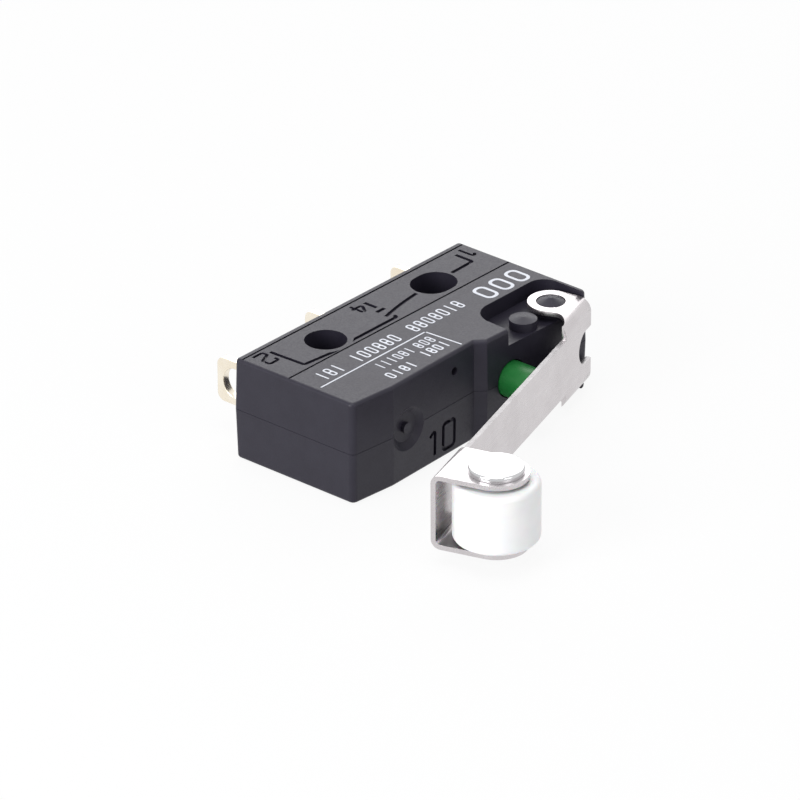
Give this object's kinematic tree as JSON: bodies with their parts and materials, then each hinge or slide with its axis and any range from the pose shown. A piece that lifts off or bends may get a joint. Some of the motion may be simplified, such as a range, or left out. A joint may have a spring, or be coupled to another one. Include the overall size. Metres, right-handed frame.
{
  "type": "lever micro switch",
  "caption": "Snap-action switch in a moulded case, worked by a hinged steel lever with a roller at its end, with solder terminals and mounting holes through the case.",
  "frame": {"origin": "centre of the round mounting hole, where it meets the lower side face", "axes": "+X along the case toward the lever's pivot, +Y toward the terminals, +Z through the case along the mounting hole"},
  "size_m": [0.022, 0.025, 0.0064],
  "materials": {
    "housing_cover": "fine textured matt, charcoal",
    "housing_base": "fine textured matt, charcoal",
    "terminals": "bright plated strip",
    "contacts": "bright silver",
    "spring_bronze": "satin spring strip",
    "spring_steel": "drawn wire",
    "plunger": "smooth dark green",
    "lever_steel": "rolled strip, satin",
    "roller": "plain white nylon",
    "axle_steel": "turned and riveted"
  },
  "bodies": {
    "housing": {"base_housing": "housing_base", "cover": "housing_cover", "common_terminal": "terminals", "normally_closed_terminal": "terminals", "normally_open_terminal": "terminals", "normally_closed_contact": "contacts", "normally_open_contact": "contacts"},
    "lever": {"lever": "lever_steel", "roller_axle": "axle_steel"},
    "roller": {"roller": "roller"},
    "plunger": {"plunger": "plunger"},
    "rocker": {"rocker": "spring_bronze"},
    "contact_arm": {"contact_arm": "spring_bronze", "moving_contact": "contacts", "snap_spring": "spring_steel"}
  },
  "joints": [
    {"name": "lever_hinge", "type": "hinge", "parent": "housing", "child": "lever", "pos_m": [0.01255, -0.00633, 0.0033], "axis": [0, 0, -1], "range_deg": [0, 11], "stiffness_Nm_per_rad": 0.012, "springref_deg": -8.59},
    {"name": "roller_spin", "type": "hinge", "parent": "lever", "child": "roller", "pos_m": [-0.00467, -0.01675, 0.0033], "axis": [0, 0, 1], "continuous": true},
    {"name": "plunger_slide", "type": "slide", "parent": "housing", "child": "plunger", "axis": [0, 1, 0], "range_m": [0, 0.00095]},
    {"name": "rocker_hinge", "type": "hinge", "parent": "housing", "child": "rocker", "pos_m": [0.01232, -0.00435, 0.0032], "axis": [0, 0, -1], "range_deg": [0, 12.5]},
    {"name": "arm_hinge", "type": "hinge", "parent": "housing", "child": "contact_arm", "pos_m": [0.0065, -0.0036, 0.0032], "axis": [0, 0, -1], "range_deg": [0, 7], "deforming": ["snap_spring"]}
  ],
  "couplings": [
    {"joint": "plunger_slide", "follows": "lever_hinge", "m_per_rad": 0.004855},
    {"joint": "rocker_hinge", "follows": "lever_hinge", "ratio": 1.1033},
    {"joint": "arm_hinge", "follows": "lever_hinge", "ratio": 0.6131}
  ]
}
